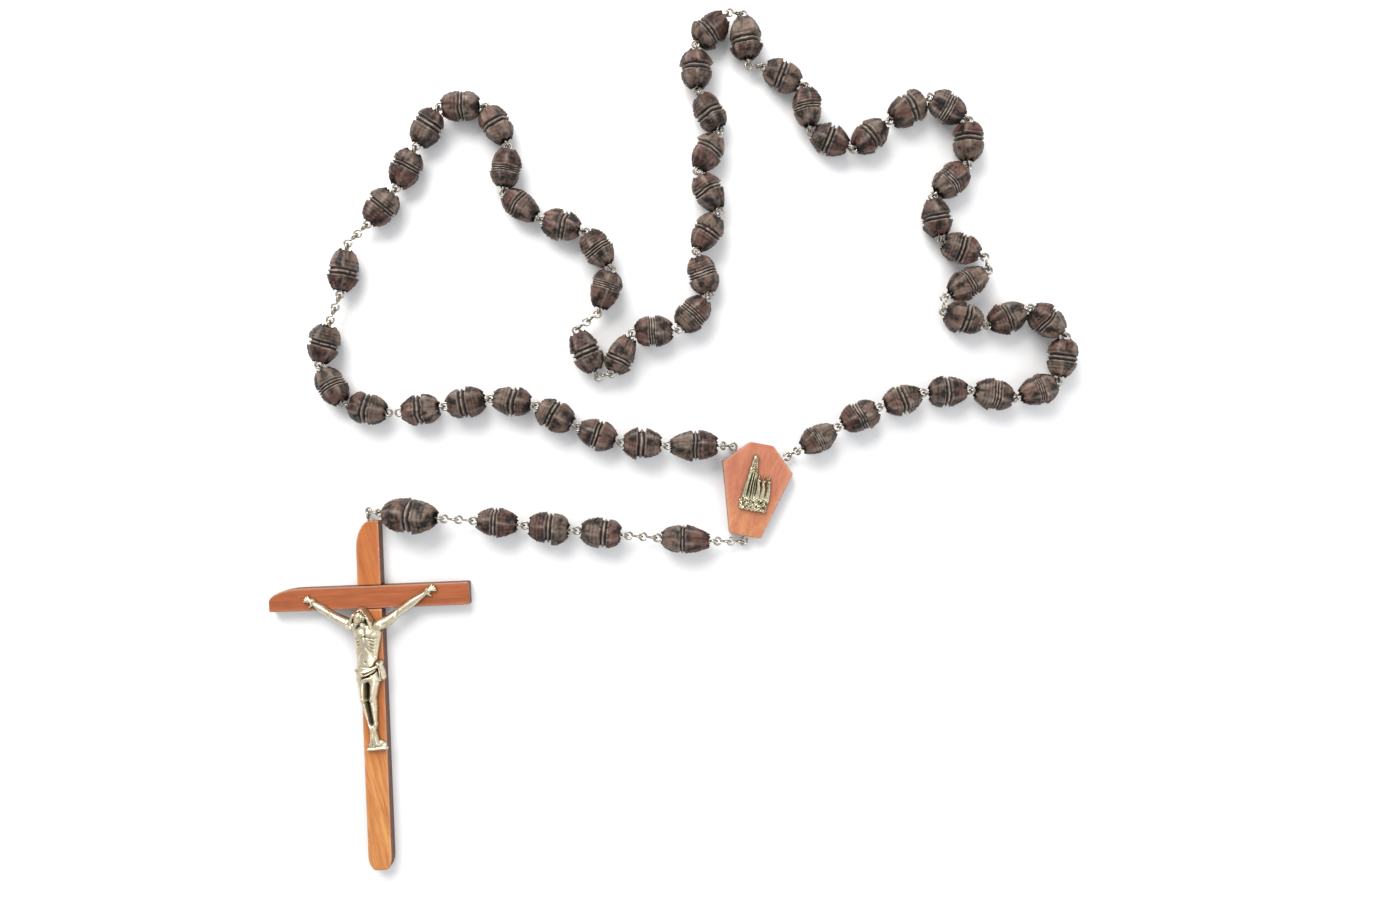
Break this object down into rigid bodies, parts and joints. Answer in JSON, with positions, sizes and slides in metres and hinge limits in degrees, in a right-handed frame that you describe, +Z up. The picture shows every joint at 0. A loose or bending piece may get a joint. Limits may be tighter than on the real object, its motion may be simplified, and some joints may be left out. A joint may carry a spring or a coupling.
{
  "type": "rosary",
  "caption": "Loop of carved wooden beads on wire eye pins, with a wooden centre plaque, a short pendant chain and a wooden crucifix with a cast figure.",
  "frame": {"origin": "on the table, under the middle of the whole layout", "axes": "+Z up out of the table towards the front of the crucifix and the plaque, +Y towards the far end of the loop, +X to the right"},
  "size_m": [0.399, 0.4248, 0.0188],
  "materials": {
    "bead_wood": "carved and stained, dark red-brown to grey-brown, dull satin",
    "upright_wood": "smooth satin, orange-brown",
    "crossbar_wood": "smooth satin, red-orange-brown with fine grain",
    "plaque_wood": "smooth satin, light orange-brown",
    "wire": "bright drawn nickel-coloured wire, slightly tarnished",
    "figure_metal": "cast, antique silver with dark patina in the hollows",
    "relief_metal": "cast, antique silver with a greenish dark patina"
  },
  "bodies": {
    "centre": {"centre_plaque": "plaque_wood", "centre_relief": "relief_metal", "centre_screw_eye_bottom": "wire", "centre_screw_eye_left": "wire", "centre_screw_eye_right": "wire"},
    "crucifix": {"corpus": "figure_metal", "crucifix_crossbar": "crossbar_wood", "crucifix_screw_eye": "wire", "crucifix_upright": "upright_wood"},
    "decade_1_beads_1_to_3": {"decade_1_beads_1_to_3": "bead_wood"},
    "decade_1_beads_4_to_7": {"decade_1_beads_4_to_7": "bead_wood"},
    "decade_1_beads_8_to_10": {"decade_1_beads_8_to_10": "bead_wood"},
    "decade_2_beads_1_to_2": {"decade_2_beads_1_to_2": "bead_wood"},
    "decade_2_beads_3_to_5": {"decade_2_beads_3_to_5": "bead_wood"},
    "decade_2_beads_6_to_8": {"decade_2_beads_6_to_8": "bead_wood"},
    "decade_2_beads_9_to_10": {"decade_2_beads_9_to_10": "bead_wood"},
    "decade_3_beads_1_to_2": {"decade_3_beads_1_to_2": "bead_wood"},
    "decade_3_beads_3_to_5": {"decade_3_beads_3_to_5": "bead_wood"},
    "decade_3_beads_6_to_8": {"decade_3_beads_6_to_8": "bead_wood"},
    "decade_3_beads_9_to_10": {"decade_3_beads_9_to_10": "bead_wood"},
    "decade_4_beads_1_to_2": {"decade_4_beads_1_to_2": "bead_wood"},
    "decade_4_beads_3_to_5": {"decade_4_beads_3_to_5": "bead_wood"},
    "decade_4_beads_6_to_8": {"decade_4_beads_6_to_8": "bead_wood"},
    "decade_4_beads_9_to_10": {"decade_4_beads_9_to_10": "bead_wood"},
    "decade_5_beads_1_to_2": {"decade_5_beads_1_to_2": "bead_wood"},
    "decade_5_beads_3_to_5": {"decade_5_beads_3_to_5": "bead_wood"},
    "decade_5_beads_6_to_8": {"decade_5_beads_6_to_8": "bead_wood"},
    "decade_5_beads_9_to_10": {"decade_5_beads_9_to_10": "bead_wood"},
    "link_after_large_1": {"link_after_large_1": "wire"},
    "link_after_large_2": {"link_after_large_2": "wire"},
    "link_after_large_3": {"link_after_large_3": "wire"},
    "link_after_large_4": {"link_after_large_4": "wire"},
    "link_before_large_1": {"link_before_large_1": "wire"},
    "link_before_large_2": {"link_before_large_2": "wire"},
    "link_before_large_3": {"link_before_large_3": "wire"},
    "link_before_large_4": {"link_before_large_4": "wire"},
    "loop_large_1_bead": {"loop_large_1_bead": "bead_wood"},
    "loop_large_1_pin": {"loop_large_1_pin": "wire"},
    "loop_large_2_bead": {"loop_large_2_bead": "bead_wood"},
    "loop_large_2_pin": {"loop_large_2_pin": "wire"},
    "loop_large_3_bead": {"loop_large_3_bead": "bead_wood"},
    "loop_large_3_pin": {"loop_large_3_pin": "wire"},
    "loop_large_4_bead": {"loop_large_4_bead": "bead_wood"},
    "loop_large_4_pin": {"loop_large_4_pin": "wire"},
    "loop_link_left": {"loop_link_left": "wire"},
    "loop_link_right": {"loop_link_right": "wire"},
    "pendant_large_lower_bead": {"pendant_large_lower_bead": "bead_wood"},
    "pendant_large_lower_pin": {"pendant_large_lower_pin": "wire"},
    "pendant_large_upper_bead": {"pendant_large_upper_bead": "bead_wood"},
    "pendant_large_upper_pin": {"pendant_large_upper_pin": "wire"},
    "pendant_link_crucifix": {"pendant_link_crucifix": "wire"},
    "pendant_link_lower": {"pendant_link_lower": "wire"},
    "pendant_link_top": {"pendant_link_top": "wire"},
    "pendant_link_upper": {"pendant_link_upper": "wire"},
    "pendant_small_1_bead": {"pendant_small_1_bead": "bead_wood"},
    "pendant_small_1_pin": {"pendant_small_1_pin": "wire"},
    "pendant_small_2_bead": {"pendant_small_2_bead": "bead_wood"},
    "pendant_small_2_pin": {"pendant_small_2_pin": "wire"},
    "pendant_small_3_bead": {"pendant_small_3_bead": "bead_wood"},
    "pendant_small_3_pin": {"pendant_small_3_pin": "wire"}
  },
  "joints": [
    {"name": "hinge_pendant_large_lower_pin", "type": "hinge", "parent": "pendant_link_lower", "child": "pendant_large_lower_pin", "pos_m": [-0.11238, -0.03865, 0.0112], "axis": [0.2681, -0.0229, 0.9631], "range_deg": [-40, 40]},
    {"name": "hinge_decade_1_beads_1_to_3", "type": "hinge", "parent": "loop_link_left", "child": "decade_1_beads_1_to_3", "pos_m": [0.02425, -0.00298, 0.0078], "axis": [0.7715, -0.0187, 0.6359], "range_deg": [-17.5, 15]},
    {"name": "hinge_pendant_small_3_pin", "type": "hinge", "parent": "pendant_small_2_pin", "child": "pendant_small_3_pin", "pos_m": [-0.07331, -0.04216, 0.0078], "axis": [0, 0, 1], "range_deg": [-30, 40]},
    {"name": "spin_pendant_large_lower_bead", "type": "hinge", "parent": "pendant_large_lower_pin", "child": "pendant_large_lower_bead", "pos_m": [-0.12945, -0.03726, 0.0094], "axis": [-0.9871, 0.0804, -0.1382], "continuous": true},
    {"name": "hinge_crucifix", "type": "hinge", "parent": "pendant_link_crucifix", "child": "crucifix", "pos_m": [-0.15141, -0.03692, 0.00358], "axis": [-0.8133, -0.0327, -0.581], "range_deg": [-20, 40]},
    {"name": "hinge_decade_2_beads_9_to_10", "type": "hinge", "parent": "link_before_large_2", "child": "decade_2_beads_9_to_10", "pos_m": [-0.03721, 0.06207, 0.0078], "axis": [0, 0, 1], "range_deg": [-40, 15]},
    {"name": "hinge_pendant_small_1_pin", "type": "hinge", "parent": "pendant_link_upper", "child": "pendant_small_1_pin", "pos_m": [-0.02234, -0.04712, 0.0078], "axis": [-0.002, 0.0002, -1], "range_deg": [-40, 15]},
    {"name": "hinge_loop_link_left", "type": "hinge", "parent": "centre", "child": "loop_link_left", "pos_m": [0.0278, -0.00306, 0.0035], "axis": [-0.0243, -0.9997, 0], "range_deg": [-40, 10]},
    {"name": "hinge_decade_1_beads_4_to_7", "type": "hinge", "parent": "decade_1_beads_1_to_3", "child": "decade_1_beads_4_to_7", "pos_m": [-0.04876, 0.00681, 0.0078], "axis": [0.4746, 0.8802, 0], "range_deg": [-40, 40]},
    {"name": "hinge_loop_link_right", "type": "hinge", "parent": "centre", "child": "loop_link_right", "pos_m": [0.05793, -0.00742, 0.0035], "axis": [0.5279, -0.8493, 0], "range_deg": [-10, 40]},
    {"name": "hinge_decade_5_beads_9_to_10", "type": "hinge", "parent": "loop_link_right", "child": "decade_5_beads_9_to_10", "pos_m": [0.06095, -0.00555, 0.0078], "axis": [-0.6553, -0.4073, 0.6362], "range_deg": [-40, 40]},
    {"name": "hinge_decade_5_beads_6_to_8", "type": "hinge", "parent": "decade_5_beads_9_to_10", "child": "decade_5_beads_6_to_8", "pos_m": [0.10253, 0.01647, 0.0078], "axis": [-0.3067, 0.9518, 0], "range_deg": [-40, 20]},
    {"name": "hinge_decade_5_beads_3_to_5", "type": "hinge", "parent": "decade_5_beads_6_to_8", "child": "decade_5_beads_3_to_5", "pos_m": [0.16947, 0.02082, 0.0078], "axis": [0.347, -0.9379, 0], "range_deg": [-40, 20]},
    {"name": "hinge_decade_5_beads_1_to_2", "type": "hinge", "parent": "decade_5_beads_3_to_5", "child": "decade_5_beads_1_to_2", "pos_m": [0.17381, 0.06426, 0.0078], "axis": [-0.3883, 0.9215, 0], "range_deg": [-20, 25]},
    {"name": "hinge_link_after_large_4", "type": "hinge", "parent": "decade_5_beads_1_to_2", "child": "link_after_large_4", "pos_m": [0.13258, 0.06443, 0.0078], "axis": [0.9938, -0.1109, 0], "range_deg": [-10, 15]},
    {"name": "hinge_loop_large_4_pin", "type": "hinge", "parent": "link_after_large_4", "child": "loop_large_4_pin", "pos_m": [0.13443, 0.0707, 0.0078], "axis": [-0.5201, 0.8541, 0], "range_deg": [-40, 10]},
    {"name": "hinge_link_before_large_4", "type": "hinge", "parent": "loop_large_4_pin", "child": "link_before_large_4", "pos_m": [0.15464, 0.08465, 0.0078], "axis": [-0.9567, -0.2912, 0], "range_deg": [-10, 25]},
    {"name": "hinge_decade_4_beads_9_to_10", "type": "hinge", "parent": "link_before_large_4", "child": "decade_4_beads_9_to_10", "pos_m": [0.15165, 0.09043, 0.0078], "axis": [0.3241, 0.946, 0], "range_deg": [-10, 40]},
    {"name": "hinge_decade_4_beads_6_to_8", "type": "hinge", "parent": "decade_4_beads_9_to_10", "child": "decade_4_beads_6_to_8", "pos_m": [0.12844, 0.12071, 0.0078], "axis": [0.6373, -0.7706, 0], "range_deg": [-25, 25]},
    {"name": "hinge_decade_4_beads_3_to_5", "type": "hinge", "parent": "decade_4_beads_6_to_8", "child": "decade_4_beads_3_to_5", "pos_m": [0.12434, 0.16782, 0.0078], "axis": [-0.5162, 0.8564, 0], "range_deg": [-25, 25]},
    {"name": "hinge_decade_4_beads_1_to_2", "type": "hinge", "parent": "decade_4_beads_3_to_5", "child": "decade_4_beads_1_to_2", "pos_m": [0.06697, 0.1528, 0.0078], "axis": [0.9941, 0.1082, 0], "range_deg": [-10, 25]},
    {"name": "hinge_link_after_large_3", "type": "hinge", "parent": "decade_4_beads_1_to_2", "child": "link_after_large_3", "pos_m": [0.04239, 0.18344, 0.0078], "axis": [0.0946, 0.9955, 0], "range_deg": [-40, 10]},
    {"name": "hinge_loop_large_3_pin", "type": "hinge", "parent": "link_after_large_3", "child": "loop_large_3_pin", "pos_m": [0.03671, 0.18541, 0.0078], "axis": [-0.994, -0.1096, 0], "range_deg": [-40, 40]},
    {"name": "hinge_link_before_large_3", "type": "hinge", "parent": "loop_large_3_pin", "child": "link_before_large_3", "pos_m": [0.03262, 0.20955, 0.0078], "axis": [-0.0969, -0.9953, 0], "range_deg": [-30, 10]},
    {"name": "hinge_decade_3_beads_9_to_10", "type": "hinge", "parent": "link_before_large_3", "child": "decade_3_beads_9_to_10", "pos_m": [0.02605, 0.20908, 0.0078], "axis": [0.6936, -0.7203, 0], "range_deg": [-30, 10]},
    {"name": "hinge_decade_3_beads_6_to_8", "type": "hinge", "parent": "decade_3_beads_9_to_10", "child": "decade_3_beads_6_to_8", "pos_m": [0.01241, 0.17024, 0.0078], "axis": [0.8694, 0.494, 0], "range_deg": [-10, 40]},
    {"name": "hinge_decade_3_beads_3_to_5", "type": "hinge", "parent": "decade_3_beads_6_to_8", "child": "decade_3_beads_3_to_5", "pos_m": [0.02183, 0.11094, 0.0078], "axis": [0.8589, -0.5121, 0], "range_deg": [-27.5, 20]},
    {"name": "hinge_decade_3_beads_1_to_2", "type": "hinge", "parent": "decade_3_beads_3_to_5", "child": "decade_3_beads_1_to_2", "pos_m": [0.00239, 0.05408, 0.0078], "axis": [0, 0, 1], "range_deg": [-17.5, 10]},
    {"name": "hinge_link_after_large_2", "type": "hinge", "parent": "decade_3_beads_1_to_2", "child": "link_after_large_2", "pos_m": [-0.03194, 0.03201, 0.0078], "axis": [-0.2176, 0.976, 0], "range_deg": [-15, 15]},
    {"name": "hinge_loop_large_2_pin", "type": "hinge", "parent": "link_after_large_2", "child": "loop_large_2_pin", "pos_m": [-0.03796, 0.03213, 0.0078], "axis": [-0.9099, -0.4148, 0], "range_deg": [-40, 40]},
    {"name": "hinge_link_before_large_2", "type": "hinge", "parent": "loop_large_2_pin", "child": "link_before_large_2", "pos_m": [-0.04681, 0.05496, 0.0078], "axis": [0.5947, -0.8039, 0], "range_deg": [-40, 40]},
    {"name": "hinge_decade_2_beads_6_to_8", "type": "hinge", "parent": "decade_2_beads_9_to_10", "child": "decade_2_beads_6_to_8", "pos_m": [-0.04476, 0.10287, 0.0078], "axis": [0.2395, 0.9709, 0], "range_deg": [-10, 40]},
    {"name": "hinge_decade_2_beads_3_to_5", "type": "hinge", "parent": "decade_2_beads_6_to_8", "child": "decade_2_beads_3_to_5", "pos_m": [-0.08191, 0.14547, 0.0078], "axis": [-0.8672, -0.4979, 0], "range_deg": [-40, 40]},
    {"name": "hinge_decade_2_beads_1_to_2", "type": "hinge", "parent": "decade_2_beads_3_to_5", "child": "decade_2_beads_1_to_2", "pos_m": [-0.12732, 0.1429, 0.0078], "axis": [-0.9055, 0.4244, 0], "range_deg": [-40, 40]},
    {"name": "hinge_link_after_large_1", "type": "hinge", "parent": "decade_2_beads_1_to_2", "child": "link_after_large_1", "pos_m": [-0.15169, 0.10477, 0.0078], "axis": [0.6954, -0.7186, 0], "range_deg": [-40, 40]},
    {"name": "hinge_loop_large_1_pin", "type": "hinge", "parent": "link_after_large_1", "child": "loop_large_1_pin", "pos_m": [-0.16049, 0.09503, 0.0078], "axis": [0.989, -0.1478, 0], "range_deg": [-40, 40]},
    {"name": "hinge_link_before_large_1", "type": "hinge", "parent": "loop_large_1_pin", "child": "link_before_large_1", "pos_m": [-0.16458, 0.06979, 0.0078], "axis": [0.9341, -0.3571, 0], "range_deg": [-40, 40]},
    {"name": "hinge_decade_1_beads_8_to_10", "type": "hinge", "parent": "link_before_large_1", "child": "decade_1_beads_8_to_10", "pos_m": [-0.1692, 0.05722, 0.0078], "axis": [0.9698, -0.2441, 0], "range_deg": [-40, 40]},
    {"name": "spin_loop_large_1_bead", "type": "hinge", "parent": "loop_large_1_pin", "child": "loop_large_1_bead", "pos_m": [-0.16228, 0.08309, 0.0078], "axis": [-0.1478, -0.989, 0], "continuous": true},
    {"name": "spin_loop_large_2_bead", "type": "hinge", "parent": "loop_large_2_pin", "child": "loop_large_2_bead", "pos_m": [-0.04297, 0.04311, 0.0078], "axis": [-0.4148, 0.9099, 0], "continuous": true},
    {"name": "spin_loop_large_3_bead", "type": "hinge", "parent": "loop_large_3_pin", "child": "loop_large_3_bead", "pos_m": [0.03538, 0.19741, 0.0078], "axis": [-0.1096, 0.994, 0], "continuous": true},
    {"name": "spin_loop_large_4_bead", "type": "hinge", "parent": "loop_large_4_pin", "child": "loop_large_4_bead", "pos_m": [0.14475, 0.07698, 0.0078], "axis": [0.8541, 0.5201, 0], "continuous": true},
    {"name": "hinge_pendant_link_top", "type": "hinge", "parent": "centre", "child": "pendant_link_top", "pos_m": [0.0332, -0.05047, 0.0035], "axis": [-0.0464, -0.9989, 0], "range_deg": [-40, 10]},
    {"name": "hinge_pendant_large_upper_pin", "type": "hinge", "parent": "pendant_link_top", "child": "pendant_large_upper_pin", "pos_m": [0.02137, -0.04992, 0.0078], "axis": [0.3408, -0.0158, 0.94], "range_deg": [-10, 40]},
    {"name": "spin_pendant_large_upper_bead", "type": "hinge", "parent": "pendant_large_upper_pin", "child": "pendant_large_upper_bead", "pos_m": [0.00586, -0.04903, 0.00805], "axis": [-0.9982, 0.0575, -0.0175], "continuous": true},
    {"name": "hinge_pendant_link_upper", "type": "hinge", "parent": "pendant_large_upper_pin", "child": "pendant_link_upper", "pos_m": [-0.00973, -0.0481, 0.00778], "axis": [0.0775, 0.997, 0.0004], "range_deg": [-40, 20]},
    {"name": "spin_pendant_small_1_bead", "type": "hinge", "parent": "pendant_small_1_pin", "child": "pendant_small_1_bead", "pos_m": [-0.03581, -0.04584, 0.0078], "axis": [-0.9955, 0.0944, -0.0001], "continuous": true},
    {"name": "hinge_pendant_small_2_pin", "type": "hinge", "parent": "pendant_small_1_pin", "child": "pendant_small_2_pin", "pos_m": [-0.04927, -0.04456, 0.0078], "axis": [0.0993, 0.9951, 0], "range_deg": [-20, 40]},
    {"name": "spin_pendant_small_2_bead", "type": "hinge", "parent": "pendant_small_2_pin", "child": "pendant_small_2_bead", "pos_m": [-0.06129, -0.04336, 0.0078], "axis": [-0.9951, 0.0993, 0], "continuous": true},
    {"name": "hinge_pendant_link_lower", "type": "hinge", "parent": "pendant_small_3_pin", "child": "pendant_link_lower", "pos_m": [-0.10026, -0.03968, 0.0078], "axis": [-0.0849, -0.9964, 0], "range_deg": [-40, 40]},
    {"name": "hinge_pendant_link_crucifix", "type": "hinge", "parent": "pendant_large_lower_pin", "child": "pendant_link_crucifix", "pos_m": [-0.14656, -0.03587, 0.007], "axis": [0.0811, 0.9967, 0], "range_deg": [-10, 40]},
    {"name": "spin_pendant_small_3_bead", "type": "hinge", "parent": "pendant_small_3_pin", "child": "pendant_small_3_bead", "pos_m": [-0.08678, -0.04092, 0.0078], "axis": [-0.9958, 0.0919, 0], "continuous": true}
  ]
}
